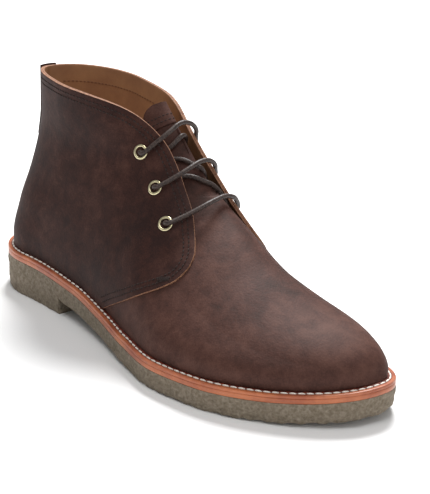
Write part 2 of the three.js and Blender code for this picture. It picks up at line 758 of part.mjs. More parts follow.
const lacePath = laceRoute();
addPiece('lace', geometryOf(cordSolid(lacePath, LACE_STEPS)), FINISH.lace);
addPiece('lace_end_inner', geometryOf(cordSolid(innerEndPoints(lacePath), END_STEPS)), FINISH.lace);
addPiece('lace_end_outer', geometryOf(cordSolid(outerEndPoints(lacePath), END_STEPS)), FINISH.lace);

// The origin lies on the floor, under the middle of the boot.
const bounds = new THREE.Box3().setFromObject(boot);
boot.position.set(-(bounds.min.x + bounds.max.x) / 2, -(bounds.min.y + bounds.max.y) / 2, -bounds.min.z);

export default boot;
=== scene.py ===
# %% [markdown]
# # A desert boot on a photographer's table
# The CAD model gives this boot its true size: a last, the wooden foot that shoemakers pull leather over.
# Here the leather, seams, cord and rubber are modelled over that same last, so that every panel lies
# where a maker would lay it. All sizes are in millimetres until a mesh is made.

# %% Load the frame
import math

import bpy
import numpy as np
from mathutils import Matrix, Vector


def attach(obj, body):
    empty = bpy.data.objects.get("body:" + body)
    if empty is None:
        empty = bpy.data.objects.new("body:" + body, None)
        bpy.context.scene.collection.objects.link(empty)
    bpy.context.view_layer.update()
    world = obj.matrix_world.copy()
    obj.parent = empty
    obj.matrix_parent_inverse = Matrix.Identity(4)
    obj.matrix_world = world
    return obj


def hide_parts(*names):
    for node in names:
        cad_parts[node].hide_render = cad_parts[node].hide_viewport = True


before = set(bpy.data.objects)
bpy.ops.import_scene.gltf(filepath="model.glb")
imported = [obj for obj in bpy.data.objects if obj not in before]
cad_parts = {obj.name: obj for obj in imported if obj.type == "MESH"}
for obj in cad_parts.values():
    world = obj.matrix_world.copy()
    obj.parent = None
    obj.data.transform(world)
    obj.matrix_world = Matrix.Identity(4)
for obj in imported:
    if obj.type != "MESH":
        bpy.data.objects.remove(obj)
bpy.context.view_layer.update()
bpy.ops.object.select_all(action="DESELECT")

# %% [markdown]
# The last is measured from the back of the heel, while the model's origin is under the middle of the
# boot. One function moves a point over and turns it into metres.

# %% Millimetres to metres
SHIFT = np.array([-151.0, 0.6587, 0.0])


def metres(points):
    return (np.asarray(points, float) + SHIFT) / 1000


# %% [markdown]
# ## Camera
# The photograph looks down on the outer side and the toe from a good step away. A long lens keeps that
# perspective, and the camera turns by a degree because the photographer did not hold it level.

# %% Camera
CAMERA_PLACE = (829.2, -537.1, 380.8)
CAMERA_AIM = (171.0, 10.7, 62.0)
CAMERA_ROLL = math.radians(1.28)
LENS = 116.0

bpy.ops.object.camera_add()
camera = bpy.context.object
camera.name = "camera"
place, aim = metres(CAMERA_PLACE), metres(CAMERA_AIM)
camera.location = place
look = Vector(aim - place).to_track_quat("-Z", "Y")
camera.rotation_euler = (look.to_matrix() @ Matrix.Rotation(CAMERA_ROLL, 3, "Z")).to_euler()
camera.data.lens = LENS
camera.data.sensor_width = 36
camera.data.clip_end = 20
bpy.context.scene.camera = camera
bpy.context.scene.view_settings.view_transform = "Standard"
print("camera", [round(v, 3) for v in camera.location])

# %% [markdown]
# ## The last
# A last is known by a few curves: the feather line where the upper meets the sole, the top line over
# the instep, the back line of the heel and the roundness of its sections. Short tables hold them, and
# a cubic that never overshoots runs through each.


# %% Smooth curves through a table
def smooth(xs, ys):
    xs, ys = np.array(xs, float), np.array(ys, float)
    step = np.diff(xs)
    rise = np.diff(ys) / step
    slope = np.zeros(len(xs))
    for i in range(1, len(step)):
        if rise[i - 1] * rise[i] > 0:
            before, after = 2 * step[i] + step[i - 1], step[i] + 2 * step[i - 1]
            slope[i] = (before + after) / (before / rise[i - 1] + after / rise[i])
    for end, near, far in ((0, 0, 1), (-1, -1, -2)):
        s = ((2 * step[near] + step[far]) * rise[near] - step[near] * rise[far]) / (step[near] + step[far])
        if s * rise[near] <= 0:
            s = 0
        elif rise[near] * rise[far] < 0 and abs(s) > 3 * abs(rise[near]):
            s = 3 * rise[near]
        slope[end] = s

    def curve(x):
        x = np.clip(x, xs[0], xs[-1])
        i = np.clip(np.searchsorted(xs, x, side="right") - 1, 0, len(step) - 1)
        t = (x - xs[i]) / step[i]
        return (ys[i] * (2 * t**3 - 3 * t**2 + 1) + ys[i + 1] * (3 * t**2 - 2 * t**3)
                + step[i] * (slope[i] * (t**3 - 2 * t**2 + t) + slope[i + 1] * (t**3 - t**2)))

    return curve


def smoothstep(value):
    t = np.clip(value, 0, 1)
    return t * t * (3 - 2 * t)


def run_lengths(line):
    """The distance along a line from its start to each of its points."""
    return np.concatenate([[0], np.cumsum(np.linalg.norm(np.diff(line, axis=0), axis=1))])


def at_lengths(line, lengths, wanted):
    """The places at the wanted distances along a line."""
    return np.stack([np.interp(wanted, lengths, line[:, k]) for k in range(line.shape[1])], -1)


# %% The last's tables
SOLE_LENGTH, HALF_BALL, WELT_SHOW = 302.0, 54.0, 4.8
LAST_HEEL, LAST_TOE = WELT_SHOW, SOLE_LENGTH - WELT_SHOW
TIP_SHIFT, TIP_START = 20.0, 195.0
SECTION_START = 60.0

FEATHER = np.array([
    (0.00, 0.620, 0.620, 27.6), (0.06, 0.602, 0.593, 27.6), (0.17, 0.565, 0.546, 27.2),
    (0.30, 0.583, 0.472, 24.6), (0.42, 0.676, 0.491, 20.6), (0.54, 0.824, 0.667, 17.7),
    (0.65, 0.931, 0.843, 16.9), (0.76, 0.917, 0.833, 17.3), (0.87, 0.840, 0.735, 18.0),
    (0.94, 0.790, 0.620, 19.4), (1.00, 0.760, 0.570, 21.6)])
TOP_LINE = np.array([
    (60, 330), (85, 235), (100, 188), (112, 159), (124, 141.5), (138, 126), (155, 107.5), (170, 91.5),
    (185, 79), (200, 70), (220, 60), (240, 52), (260, 46.2), (275, 42.6), (286, 38), (293, 32),
    (LAST_TOE, 21.6)])
BACK_LINE = np.array([
    (20, 5.4), (27.6, LAST_HEEL), (40, 3.9), (55, 4.8), (75, 9), (95, 13.8), (115, 17.2), (140, 17.6),
    (172, 15)])
LEG = np.array([
    (22, 1.00, 1.00, 34, 2.15), (35, 1.02, 1.02, 36, 2.12), (55, 0.93, 0.97, 42, 1.98),
    (80, 0.77, 0.91, 48, 1.85), (105, 0.67, 0.87, 52, 1.75), (125, 0.745, 0.98, 57, 1.73),
    (150, 0.84, 1.07, 59, 1.71), (172, 0.86, 1.06, 59, 1.70)])
SECTION = np.array([
    (60, 2.2, 1.90, 3), (110, 3.0, 1.80, 13), (140, 1.9, 1.75, 14), (170, 1.6, 1.70, 15),
    (200, 1.7, 1.75, 10), (230, 1.9, 1.90, 6), (260, 2.5, 2.10, 4), (LAST_TOE, 3.0, 2.30, 0)])


def along_last(column):
    curve = smooth(FEATHER[:, 0], FEATHER[:, column])
    return lambda x: curve((x - LAST_HEEL) / (LAST_TOE - LAST_HEEL))


feather_outer, feather_inner, feather_height = (along_last(column) for column in (1, 2, 3))
top_line = smooth(TOP_LINE[:, 0], TOP_LINE[:, 1])
back_line = smooth(BACK_LINE[:, 0], BACK_LINE[:, 1])
leg_outer, leg_inner, leg_length, leg_power = (smooth(LEG[:, 0], LEG[:, column]) for column in (1, 2, 3, 4))
rise_power, width_power, ridge_lean = (smooth(SECTION[:, 0], SECTION[:, column]) for column in (1, 2, 3))
print("feather at the ball", float(feather_height(200)))


# %% [markdown]
# One function says where the last's skin lies at any place along the foot and any height. The outer
# side is -1 and the inner side +1.

# %% The skin of the last
def end_round(distance, length, power):
    inward = np.clip(distance / length, 0, 1)
    return (1 - (1 - inward) ** power) ** (1 / power)


def tip_shift(x):
    return TIP_SHIFT * np.clip((x - TIP_START) / (LAST_TOE - TIP_START), 0, 1) ** 1.5


def ridge_y(x):
    return tip_shift(x) + ridge_lean(np.maximum(x, SECTION_START))


def last_y(x, height, side):
    x, height = np.asarray(x, float), np.asarray(height, float)
    foot = feather_height(x)
    share = np.clip((height - foot) / np.maximum(top_line(x) - foot, 1e-6), 0, 1)
    arch = (1 - share ** rise_power(x)) ** (1 / width_power(x))
    fade = smoothstep((x - 120) / 60)
    swell = 1 + 0.05 * np.sin(np.pi * np.clip(share / 0.6, 0, 1))
    ends = end_round(x - back_line(height), leg_length(height), leg_power(height))
    ends = ends * end_round(LAST_TOE - x, 73, 2.25)
    middle = tip_shift(x) + ridge_lean(np.maximum(x, SECTION_START)) * share**1.5
    breadth, leg = (feather_outer, leg_outer) if side < 0 else (feather_inner, leg_inner)
    return middle + side * breadth(x) * HALF_BALL * (leg(height) * (1 - fade) + swell * fade) * arch * ends


def skin(x, height, side):
    return np.stack([x, last_y(x, height, side), height], -1)


def unit(vectors):
    return vectors / np.maximum(np.linalg.norm(vectors, axis=-1, keepdims=True), 1e-9)


def grid_normals(grid):
    faces = np.cross(grid[1:, 1:] - grid[:-1, :-1], grid[1:, :-1] - grid[:-1, 1:])
    normals = np.zeros_like(grid)
    for rows in (slice(None, -1), slice(1, None)):
        for columns in (slice(None, -1), slice(1, None)):
            normals[rows, columns] += faces
    return unit(normals)


def settle(points, side, rounds=4):
    """Brings points near one side of the last onto it, with their outward normals."""
    points = np.array(points, float)
    for _ in range(rounds):
        x, y, z = points.T
        level = side * (y - last_y(x, z, side))
        slope_x = -side * (last_y(x + 0.4, z, side) - last_y(x - 0.4, z, side)) / 0.8
        slope_z = -side * (last_y(x, z + 0.4, side) - last_y(x, z - 0.4, side)) / 0.8
        gradient = np.stack([slope_x, np.full_like(x, side), slope_z], -1)
        points -= gradient * (level / (gradient**2).sum(-1))[:, None]
    return points, unit(gradient)


print("quarter at the ankle", float(last_y(60.0, 90.0, -1)))

# %% [markdown]
# ## From a grid to a leather panel
# A panel is cut flat and drawn over the last. Here a flat grid is added, its points are laid on the
# last, and Solidify gives it the hide's thickness with a second material on the cut rim. A small
# bevel breaks the rim, as a skiving knife does. The grid's own columns and rows give the UV map.


# %% Panels
def finish_mesh(piece, *materials):
    piece.data.materials.clear()
    for material in materials:
        piece.data.materials.append(material)
    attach(piece, "root")
    return piece


def mesh_piece(name, points, faces):
    """A new object from points in millimetres and the faces between them."""
    mesh = bpy.data.meshes.new(name)
    mesh.from_pydata(metres(points).tolist(), [], faces)
    piece = bpy.data.objects.new(name, mesh)
    bpy.context.collection.objects.link(piece)
    return piece


def even_normals(piece, angle):
    """Turns all faces outward, and shades smoothly over edges flatter than the angle in degrees."""
    bpy.context.view_layer.objects.active = piece
    piece.select_set(True)
    bpy.ops.object.mode_set(mode="EDIT")
    bpy.ops.mesh.select_all(action="SELECT")
    bpy.ops.mesh.normals_make_consistent(inside=False)
    bpy.ops.object.mode_set(mode="OBJECT")
    bpy.ops.object.shade_smooth_by_angle(angle=math.radians(angle))
    piece.select_set(False)


def apply_modifiers(piece):
    bpy.context.view_layer.objects.active = piece
    for modifier in list(piece.modifiers):
        bpy.ops.object.modifier_apply(modifier=modifier.name)


def grid_piece(name, grid):
    """A primitive grid whose points are laid at the given places, in millimetres."""
    rows, columns = grid.shape[:2]
    bpy.ops.mesh.primitive_grid_add(x_subdivisions=columns - 1, y_subdivisions=rows - 1, size=1)
    piece = bpy.context.object
    piece.name = name
    piece.data.name = name
    piece.data.vertices.foreach_set("co", metres(grid.reshape(-1, 3)).ravel())
    piece.data.update()
    bpy.ops.object.shade_smooth()
    piece.select_set(False)
    return piece


def face_outward(piece, grid, normals):
    """Turns the faces round where they look away from the panel's own normals."""
    count = len(piece.data.polygons)
    facing = np.empty(count * 3)
    corners = np.empty(count * 4, int)
    piece.data.polygons.foreach_get("normal", facing)
    piece.data.polygons.foreach_get("vertices", corners)
    wanted = normals.reshape(-1, 3)[corners.reshape(count, 4)].mean(1)
    if (facing.reshape(count, 3) * wanted).sum() < 0:
        piece.data.flip_normals()


def panel(name, grid, normals, low, high, leather, rim, bevel=0.2, under=None):
    """A hide from low to high over the grid. Heights may be arrays as large as the grid."""
    top = grid + normals * np.broadcast_to(np.asarray(high, float), grid.shape[:2])[..., None]
    piece = grid_piece(name, top)
    face_outward(piece, grid, normals)
    thickness = float(np.mean(np.asarray(high, float) - np.asarray(low, float)))
    solid = piece.modifiers.new("hide", "SOLIDIFY")
    solid.thickness = thickness / 1000
    solid.offset = -1
    solid.use_even_offset = False
    solid.use_rim = True
    solid.material_offset = 0 if under is None else 2
    solid.material_offset_rim = 1
    weld = piece.modifiers.new("weld", "WELD")
    weld.merge_threshold = 2e-5
    materials = [leather, rim] + ([under] if under else [])
    for material in materials:
        piece.data.materials.append(material)
    apply_modifiers(piece)
    if bevel:
        bevel_rim(piece, bevel)
    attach(piece, "root")
    print(name, len(piece.data.polygons), "faces")
    return piece


def bevel_rim(piece, width):
    edge = piece.modifiers.new("skived edge", "BEVEL")
    edge.limit_method = "ANGLE"
    edge.angle_limit = math.radians(50)
    edge.width = width / 1000
    edge.segments = 2
    edge.harden_normals = False
    edge.material = 1
    apply_modifiers(piece)


# %% [markdown]
# ## Materials
# Colours are written as they look on a screen, and one function turns them to the linear light that
# the shader works in. One small helper adds a node with its settings and its links.


# %% Helpers for materials
def colour(code):
    values = [int(code[i:i + 2], 16) / 255 for i in (1, 3, 5)]
    return (*(v / 12.92 if v <= 0.04045 else ((v + 0.055) / 1.055) ** 2.4 for v in values), 1)


def add_node(material, kind, links=(), **settings):
    """Adds a node, sets its properties and its inputs' values, and links (input, from node, output)."""
    node = material.node_tree.nodes.new(kind)
    for key, value in settings.items():
        if hasattr(node, key):
            setattr(node, key, value)
        else:
            node.inputs[key.replace("_", " ")].default_value = value
    for socket, source, output in links:
        material.node_tree.links.new(source.outputs[output], node.inputs[socket])
    return node


def new_material(name, **shader_values):
    material = bpy.data.materials.new(name)
    material.use_nodes = True
    material.node_tree.nodes.clear()
    shader = add_node(material, "ShaderNodeBsdfPrincipled")
    for key, value in shader_values.items():
        shader.inputs[key.replace("_", " ")].default_value = value
    add_node(material, "ShaderNodeOutputMaterial", [("Surface", shader, "BSDF")])
    return material, shader


def add_noise(material, place, scale, detail, **settings):
    return add_node(material, "ShaderNodeTexNoise", [("Vector", place, "Object")], Scale=scale,
                    Detail=detail, **settings)


def add_bump(material, height, output, strength, distance, over=None):
    """Relief from a height, laid over other relief if there is some. The distance is in metres."""
    links = [("Height", height, output)] + ([] if over is None else [("Normal", over, "Normal")])
    return add_node(material, "ShaderNodeBump", links, Strength=strength, Distance=distance)


def ramp(material, source, output, stops):
    """A colour ramp over the stops (place, colour code)."""
    node = add_node(material, "ShaderNodeValToRGB", [("Fac", source, output)])
    bar = node.color_ramp
    while len(bar.elements) < len(stops):
        bar.elements.new(0.5)
    for element, (place, code) in zip(bar.elements, stops):
        element.position = place
        element.color = colour(code)
    return node


def link(material, source, output, target, socket):
    material.node_tree.links.new(source.outputs[output], target.inputs[socket])


def weigh(material, first, first_output, share, second=None, second_output=None, second_share=0.0):
    """first times its share, plus second times its share."""
    total = add_node(material, "ShaderNodeMath", [(0, first, first_output)], operation="MULTIPLY")
    total.inputs[1].default_value = share
    if second is None:
        return total
    more = add_node(material, "ShaderNodeMath", [(0, second, second_output), (2, total, "Value")],
                    operation="MULTIPLY_ADD")
    more.inputs[1].default_value = second_share
    return more


# %% Leather
def leather(name, deep, middle, light, forward=0.0, roughness=0.66):
    """Oiled nubuck: fine cloudy mottling, pores under a millimetre, paler towards the toe."""
    material, shader = new_material(name, Roughness=roughness, IOR=1.45)
    shader.inputs["Specular IOR Level"].default_value = 0.24
    place = add_node(material, "ShaderNodeTexCoord")
    clouds = add_noise(material, place, 110.0, 7.0, Roughness=0.68, Distortion=0.3)
    broad, pores = add_noise(material, place, 17.0, 2.0), add_noise(material, place, 1300.0, 2.0)
    axes = add_node(material, "ShaderNodeSeparateXYZ", [("Vector", place, "Object")])
    mottle = weigh(material, weigh(material, clouds, "Fac", 0.6), "Value", 1.0, broad, "Fac", 0.32)
    mottle = weigh(material, mottle, "Value", 1.0, pores, "Fac", 0.24)
    tone = weigh(material, mottle, "Value", 1.0, axes, "X", forward)
    tint = ramp(material, tone, "Value", [(0.46, deep), (0.59, middle), (0.74, light)])
    link(material, tint, "Color", shader, "Base Color")
    grain = add_node(material, "ShaderNodeTexVoronoi", [("Vector", place, "Object")], Scale=700.0)
    relief = add_bump(material, grain, "Distance", 0.16, 0.0004)
    soft = add_bump(material, clouds, "Fac", 0.22, 0.0012, relief)
    link(material, soft, "Normal", shader, "Normal")
    return material


def plain_leather(name, deep, light, scale, roughness):
    material, shader = new_material(name, Roughness=roughness, IOR=1.48)
    place = add_node(material, "ShaderNodeTexCoord")
    fibre = add_noise(material, place, scale, 4.0, Roughness=0.6)
    tint = ramp(material, fibre, "Fac", [(0.35, deep), (0.65, light)])
    link(material, tint, "Color", shader, "Base Color")
    relief = add_bump(material, fibre, "Fac", 0.2, 0.0004)
    link(material, relief, "Normal", shader, "Normal")
    return material


# The quarters and the vamp are one oiled nubuck. The quarters' copy is darker, with painted shade on the
# boot's sides, and the vamp's copy is lighter, with painted light from above. The back strip and the back
# seam take the quarters' copy.
SHADED_UPPER_LEATHER = leather("oiled nubuck of the quarters, with painted shade", "#281512", "#381f19", "#4b2f27", forward=0.25)
LIT_VAMP_LEATHER = leather("oiled nubuck of the vamp, with painted light", "#35211b", "#472c25", "#583a31", forward=0.22)
CUT_EDGE = plain_leather("raw cut leather edge", "#6f4733", "#a4775a", 700.0, 0.7)
LINING = plain_leather("vegetable tanned lining", "#94694a", "#a97d57", 45.0, 0.66)
TAN_EDGE = plain_leather("tan sole leather", "#93472a", "#bd6e46", 60.0, 0.38)
WELT_TOP = plain_leather("dark red welt leather", "#5c2118", "#85402c", 260.0, 0.45)
THREAD_DARK = plain_leather("waxed brown thread", "#1c110e", "#33221c", 1500.0, 0.85)
THREAD_TAN = plain_leather("waxed tan thread", "#5d3c26", "#7a5236", 1500.0, 0.6)
THREAD_WHITE = plain_leather("waxed white thread", "#efe6da", "#fffaf2", 1500.0, 0.55)


# %% Crepe rubber, brass and cord
def crepe_rubber():
    """Granular crepe: grains of 1 to 2 mm pressed together, so the colour and relief are crumbly."""
    material, shader = new_material("crepe rubber", Roughness=0.86, IOR=1.5)
    place = add_node(material, "ShaderNodeTexCoord")
    grains = add_node(material, "ShaderNodeTexVoronoi", [("Vector", place, "Object")], Scale=620.0)
    crumbs = add_noise(material, place, 380.0, 6.0, Roughness=0.7)
    tone = add_node(material, "ShaderNodeMath", [(0, crumbs, "Fac")], operation="ADD")
    part = add_node(material, "ShaderNodeMath", [(0, grains, "Distance")], operation="MULTIPLY")
    part.inputs[1].default_value = 0.25
    link(material, part, "Value", tone, 1)
    tint = ramp(material, tone, "Value", [(0.35, "#594e3f"), (0.62, "#7a6e5d"), (0.9, "#958a7b")])
    link(material, tint, "Color", shader, "Base Color")
    coarse = add_bump(material, crumbs, "Fac", 0.55, 0.0010)
    fine = add_bump(material, grains, "Distance", 0.5, 0.0006, coarse)
    link(material, fine, "Normal", shader, "Normal")
    return material


def polished_brass():
    """Plated brass eyelets, pressed and rolled."""
    material, shader = new_material("pressed brass", Metallic=1.0, Roughness=0.28)
    shader.inputs["Base Color"].default_value = colour("#e3d8b0")
    return material


def waxed_cord():
    """Round braided cord, waxed: short diagonal plaits round and along it."""
    material, shader = new_material("waxed braided cord", Roughness=0.5, IOR=1.46)
    place = add_node(material, "ShaderNodeTexCoord")
    plait = add_node(material, "ShaderNodeMapping", [("Vector", place, "UV")])
    plait.inputs["Scale"].default_value = (0.9, 6.0, 1)
    plait.inputs["Rotation"].default_value = (0, 0, math.radians(45))
    wave = add_node(material, "ShaderNodeTexVoronoi", [("Vector", plait, "Vector")], Scale=1.2)
    tint = ramp(material, wave, "Distance", [(0.0, "#4d3d36"), (0.8, "#2b201d")])
    link(material, tint, "Color", shader, "Base Color")
    relief = add_bump(material, wave, "Distance", 0.35, 0.0004)
    relief.invert = True
    link(material, relief, "Normal", shader, "Normal")
    return material


RUBBER, BRASS, CORD = crepe_rubber(), polished_brass(), waxed_cord()
print("materials", len(bpy.data.materials))

# %% [markdown]
# ## The lace
# A waxed round cord 2.8 mm thick crosses the throat three times. Each bar goes down through an eyelet
# at both ends, and the crossings run underneath. A free end is a cord of its own: the inner one is
# short, the outer one runs up under the facing. A tube is swept along each route.

# %% Routes of the lace
CORD_RADIUS = 1.4
LACE_ROUTE = np.array([
    (128.2, 20.3, 110.0), (126.6, 20.7, 110.4), (125.6, 21.7, 110.7), (125.2, 23.2, 110.8),
    (125.3, 25.0, 110.8), (125.8, 26.7, 110.8), (126.5, 27.8, 110.7), (127.6, 28.5, 110.3),
    (129.3, 28.7, 110.4), (131.5, 27.2, 113.8), (133.5, 25.6, 117.7), (135.1, 24.5, 120.7),
    (136.2, 21.8, 124.1), (136.7, 17.9, 126.7), (136.8, 13.4, 127.8), (137.1, 9.0, 127.1),
    (137.2, 4.8, 124.9), (136.6, 0.9, 122.4), (135.4, -2.2, 119.8), (133.7, -4.6, 117.4),
    (131.8, -8.3, 113.8), (129.6, -10.9, 111.5), (128.0, -10.8, 111.6), (126.8, -10.2, 111.5),
    (126.0, -9.4, 111.3), (125.2, -7.7, 110.8), (124.9, -6.0, 110.2), (125.1, -4.6, 109.7),
    (126.1, -3.7, 109.3), (128.1, -3.0, 108.7), (132.2, -2.1, 106.9), (137.7, 0.5, 107.5),
    (142.7, 4.7, 108.8), (145.3, 7.0, 108.5), (147.6, 8.9, 107.6), (149.9, 10.7, 106.2),
    (152.7, 14.3, 104.1), (151.2, 18.3, 98.4), (148.2, 21.3, 94.5), (145.7, 22.1, 93.3),
    (144.1, 22.3, 93.5), (143.2, 23.4, 93.7), (142.7, 25.0, 94.0), (142.7, 27.0, 94.3),
    (143.0, 28.3, 94.5), (143.7, 29.3, 94.6), (145.1, 30.2, 94.5), (147.3, 29.6, 96.6),
    (149.9, 27.2, 100.6), (151.8, 25.5, 103.4), (153.1, 23.0, 106.0), (153.8, 18.9, 108.3),
    (154.2, 14.6, 108.9), (154.5, 10.2, 108.4), (154.8, 6.0, 107.2), (154.5, 2.0, 105.5),
    (153.4, -1.9, 103.5), (151.9, -4.8, 101.6), (149.9, -8.5, 99.3), (147.4, -12.8, 96.8),
    (145.5, -13.5, 96.1), (144.2, -13.1, 95.8), (143.4, -12.4, 95.3), (142.8, -11.1, 94.4),
    (142.5, -9.5, 93.4), (142.7, -8.1, 92.6), (143.6, -7.1, 92.1), (145.1, -6.6, 92.1),
    (146.6, -4.2, 94.7), (148.0, -0.5, 98.3), (149.9, 3.0, 100.4), (153.2, 6.8, 100.6),
    (157.7, 11.1, 98.7), (161.1, 17.1, 95.1), (163.1, 22.4, 87.9), (164.2, 25.8, 79.3),
    (162.2, 26.2, 77.2), (160.6, 26.6, 77.4), (159.9, 27.8, 77.8), (159.6, 29.5, 78.2),
    (159.7, 31.4, 78.6), (160.2, 32.5, 78.9), (161.1, 33.5, 79.0), (162.6, 34.1, 79.2),
    (165.1, 32.3, 82.0), (167.6, 28.8, 85.9), (169.3, 25.9, 88.5), (170.3, 22.0, 90.4),
    (170.8, 17.1, 91.5), (171.2, 12.5, 91.2), (171.6, 7.9, 90.5), (172.0, 3.3, 89.7),
    (171.3, -1.1, 88.1), (170.0, -5.1, 86.3), (168.6, -8.5, 84.7), (166.6, -13.4, 82.6),
    (164.1, -18.2, 80.6), (161.7, -18.3, 80.1), (160.3, -17.3, 79.2), (159.2, -15.1, 77.4),
    (157.5, -13.9, 76.2), (155.0, -14.5, 76.1)])


def through(points, per_span=8):
    """A centripetal curve through the points, with its stations about evenly spaced."""
    points = np.asarray(points, float)
    chord = np.linalg.norm(np.diff(points, axis=0), axis=1) ** 0.5
    knots = np.concatenate([[0], np.cumsum(chord)])
    h = np.diff(knots)[:, None]
    delta = np.diff(points, axis=0) / h
    slopes = np.zeros_like(points)
    slopes[1:-1] = (delta[:-1] * h[1:] + delta[1:] * h[:-1]) / (h[1:] + h[:-1])
    slopes[0], slopes[-1] = 1.5 * delta[0] - 0.5 * slopes[1], 1.5 * delta[-1] - 0.5 * slopes[-2]
    out = []
    for i in range(len(h)):
        t = np.linspace(0, 1, per_span, endpoint=False)[:, None]
        out.append(points[i] * (2 * t**3 - 3 * t**2 + 1) + points[i + 1] * (3 * t**2 - 2 * t**3)
                   + h[i] * (slopes[i] * (t**3 - 2 * t**2 + t) + slopes[i + 1] * (t**3 - t**2)))
    return np.vstack(out + [points[-1:]])


def path_length(points):
    return float(np.linalg.norm(np.diff(points, axis=0), axis=1).sum())


def spaced(points, count):
    """The same path at even distances."""
    lengths = run_lengths(points)
    return at_lengths(points, lengths, np.linspace(0, lengths[-1], count))


def tube(name, path, radius, sides, material):
    """Sweeps a circle along a path without twisting it, and closes both ends."""
    along = unit(np.gradient(path, axis=0))
    normal = unit(np.cross(along[0], (0.3, 0.9, 0.2)))
    rings, lengths = [], run_lengths(path)
    angles = np.linspace(0, 2 * np.pi, sides, endpoint=False)
    for point, direction in zip(path, along):
        normal = unit(normal - direction * (normal @ direction))
        side = np.cross(direction, normal)
        rings.append(point + radius * (np.cos(angles)[:, None] * normal + np.sin(angles)[:, None] * side))
    count = len(rings)
    vertices = np.vstack(rings)
    faces, uvs = [], []
    for i in range(count - 1):
        for j in range(sides):
            k = (j + 1) % sides
            faces.append((i * sides + j, i * sides + k, (i + 1) * sides + k, (i + 1) * sides + j))
            u0, u1, v0, v1 = lengths[i], lengths[i + 1], j / sides, (j + 1) / sides
            uvs += [(u0, v0), (u0, v1), (u1, v1), (u1, v0)]
    for first, order in ((0, range(sides - 1, -1, -1)), ((count - 1) * sides, range(sides))):
        faces.append(tuple(first + j for j in order))
        uvs += [(lengths[0 if first == 0 else -1], 0.5)] * sides
    piece = mesh_piece(name, vertices, faces)
    layer = piece.data.uv_layers.new(name="UVMap")
    layer.data.foreach_set("uv", np.array(uvs, float).ravel())
    piece.data.shade_smooth()
    return finish_mesh(piece, material)


lace_path = spaced(through(LACE_ROUTE), 420)
lace = tube("lace_cord", lace_path, CORD_RADIUS, 14, CORD)
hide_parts("lace")
print("lace", round(path_length(lace_path), 1), "mm")

# %% [markdown]
# The two free ends go on from the lace. Each is a cord of its own, and its length is printed.

# %% Free ends of the lace
INNER_END = np.array([
    (128.5, 20.2, 110.0), (129.1, 20.0, 109.7), (129.8, 19.8, 110.0), (131.2, 19.4, 113.0),
    (132.9, 18.4, 116.9), (134.5, 16.5, 118.5), (136.4, 14.2, 119.7), (137.6, 11.5, 120.0),
    (137.5, 8.9, 118.3), (137.4, 7.1, 116.7), (136.9, 5.2, 115.1), (135.7, 2.9, 113.1),
    (134.0, 0.4, 111.0)])
OUTER_END = np.array([
    (154.7, -14.5, 76.1), (153.5, -14.8, 76.0), (153.9, -16.1, 74.0), (150.5, -14.2, 78.0),
    (142.2, -10.9, 86.0), (133.3, -8.3, 93.7), (124.3, -6.6, 102.8)])

for name, node, route in (("inner_end_cord", "lace_end_inner", INNER_END),
                          ("outer_end_cord", "lace_end_outer", OUTER_END)):
    path = spaced(through(route), 70)
    end = tube(name, path, CORD_RADIUS, 14, CORD)
    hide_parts(node)
    print(name, round(path_length(path), 1), "mm")

# %% [markdown]
# ## Quarters
# A quarter wraps one side of the heel and ankle, and carries the collar, the facing with its eyelets
# and the rounded front corner that laps over the vamp. Its outline is one line in the side view. The
# panel is a patch between four lines: collar and facing, front edge, feather line and back seam.

# %% Outline of a quarter
QUARTER_PROFILE = np.array([
    (-12, 137), (10, 138), (24, 139.4), (42, 140), (62, 140), (80, 139), (95, 137.2), (106, 134.8),
    (116, 131), (124, 126.4), (131.5, 121.2), (138, 116), (144, 110.2), (152, 101.9), (160, 93.2),
    (168, 84.6), (175.5, 76.4), (181, 70.8), (185.4, 65.8), (187.3, 61), (185.6, 55.2), (180, 50.4),
    (170, 44.5), (157, 37.2), (144, 30.2), (131, 23), (120, 16.5), (110, 10)])
QUARTER_STEP = 1.1     # the quarters lie this much proud of the vamp


def quarter_outline():
    flat = through(np.insert(QUARTER_PROFILE, 1, 0, axis=1), 24)[:, [0, 2]]
    flat = flat[(flat[:, 0] > back_line(flat[:, 1])) & (flat[:, 1] > feather_height(flat[:, 0]))]
    corner = int(np.argmax(flat[:, 0]))
    return flat[:corner + 1], flat[corner:]


def resample(line, shares):
    lengths = run_lengths(line)
    return at_lengths(line, lengths, shares * lengths[-1])


TOP_EDGE, FRONT_EDGE = quarter_outline()


def quarter_patch(columns=230, rows=80):
    """Places in the side view, dense towards the back seam where the heel turns."""
    a = np.linspace(0, 1, columns) ** 1.5
    b = np.linspace(0, 1, rows)
    top, front = resample(TOP_EDGE, a), resample(FRONT_EDGE, b)
    top[0, 0] = back_line(top[0, 1])
    foot_x = LAST_HEEL + (front[-1, 0] - LAST_HEEL) * a
    foot = np.stack([foot_x, feather_height(foot_x) + 0.3], -1)
    front[-1] = foot[-1]
    back_z = top[0, 1] + (foot[0, 1] - top[0, 1]) * b
    back = np.stack([back_line(back_z), back_z], -1)
    foot[0] = back[-1]
    A, B = a[None, :, None], b[:, None, None]
    patch = (1 - B) * top[None] + B * foot[None] + (1 - A) * back[:, None] + A * front[:, None]
    patch -= ((1 - A) * (1 - B) * top[0] + A * (1 - B) * top[-1] + (1 - A) * B * foot[0] + A * B * foot[-1])
    patch[:, :, 0] = np.maximum(patch[:, :, 0], back_line(patch[:, :, 1]))
    return patch


def quarter_grid(side):
    patch = quarter_patch()
    grid = skin(patch[..., 0], patch[..., 1], side)
    grid[:, 0, 1] = 0
    normals = grid_normals(grid) * side
    if np.mean(normals[..., 1] * side) < 0:
        normals = -normals
    normals[:, 0, 1] = 0
    return grid, unit(normals)


print("outline of", len(TOP_EDGE) + len(FRONT_EDGE), "points; corner at", TOP_EDGE[-1].round(1))
